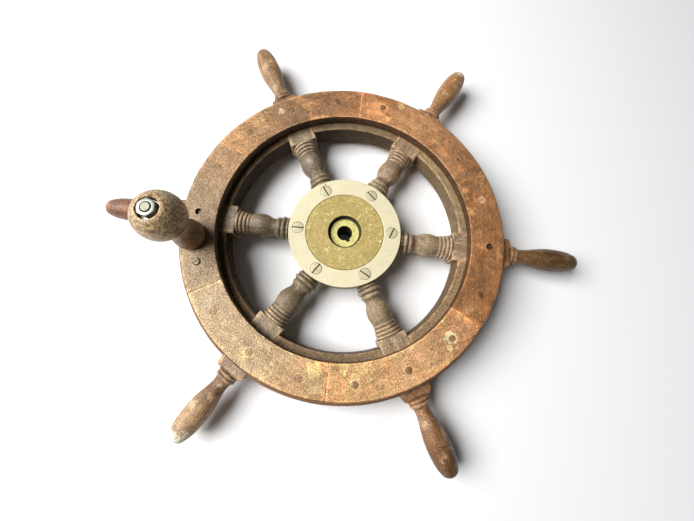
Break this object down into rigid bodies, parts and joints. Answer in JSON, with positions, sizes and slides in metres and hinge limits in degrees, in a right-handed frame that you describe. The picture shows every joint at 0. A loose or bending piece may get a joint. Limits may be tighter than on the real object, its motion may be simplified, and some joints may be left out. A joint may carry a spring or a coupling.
{
  "type": "ship steering wheel",
  "caption": "Wooden ship's steering wheel: turned spokes with handles, segmented rim, keyed brass hub and a spinner knob that turns on a bolt.",
  "frame": {"origin": "on the shaft bore's axis, in the plane of the back face of the rim and of the hub collar", "axes": "+Z along the shaft bore, out of the front face; +X along the first spoke; the wheel lies on its back"},
  "size_m": [0.61, 0.5363, 0.1457],
  "materials": {
    "facing_wood": "worn satin varnish over red-brown hardwood, dusty",
    "felloe_wood": "dull dark brown bare wood",
    "spoke_wood": "turned hardwood, dusty inside the rim and polished by hands on the handles",
    "plug_wood": "flush end-grain plugs",
    "knob_wood": "worn bare wood",
    "aged_brass": "mottled, aged",
    "bright_brass": "machined",
    "hub_plate_metal": "pale satin, brushed, a few dark pits",
    "hub_screw_metal": "satin slotted heads",
    "dull_steel": "dull",
    "zinc_steel": "bright zinc plate",
    "painted_screw": "old pale paint or filler over steel"
  },
  "bodies": {
    "wheel": {"front_facing_1": "facing_wood", "front_facing_2": "facing_wood", "front_facing_3": "facing_wood", "front_facing_4": "facing_wood", "front_facing_5": "facing_wood", "front_facing_6": "facing_wood", "back_facing_1": "facing_wood", "back_facing_2": "facing_wood", "back_facing_3": "facing_wood", "back_facing_4": "facing_wood", "back_facing_5": "facing_wood", "back_facing_6": "facing_wood", "felloe_1": "felloe_wood", "felloe_2": "felloe_wood", "felloe_3": "felloe_wood", "felloe_4": "felloe_wood", "felloe_5": "felloe_wood", "felloe_6": "felloe_wood", "spoke_1": "spoke_wood", "spoke_2": "spoke_wood", "spoke_3": "spoke_wood", "spoke_4": "spoke_wood", "spoke_5": "spoke_wood", "spoke_6": "spoke_wood", "hub_boss": "aged_brass", "hub_front_plate": "hub_plate_metal", "hub_bush": "bright_brass", "hub_screws": "hub_screw_metal", "front_rim_screws": "dull_steel", "back_rim_screws": "dull_steel", "front_rim_plugs": "plug_wood", "back_rim_plugs": "plug_wood", "flush_rim_screw": "painted_screw", "raised_rim_screw": "zinc_steel", "knob_bolt": "zinc_steel", "knob_nut": "zinc_steel", "knob_sleeve": "dull_steel", "knob_base_washer": "dull_steel", "knob_top_washer": "zinc_steel", "knob_head_washer": "zinc_steel"},
    "knob": {"knob_grip": "knob_wood"}
  },
  "joints": [
    {"name": "knob_spin", "type": "hinge", "parent": "wheel", "child": "knob", "pos_m": [-0.17825, -0.03143, 0.1], "axis": [0, 0, 1], "continuous": true}
  ]
}
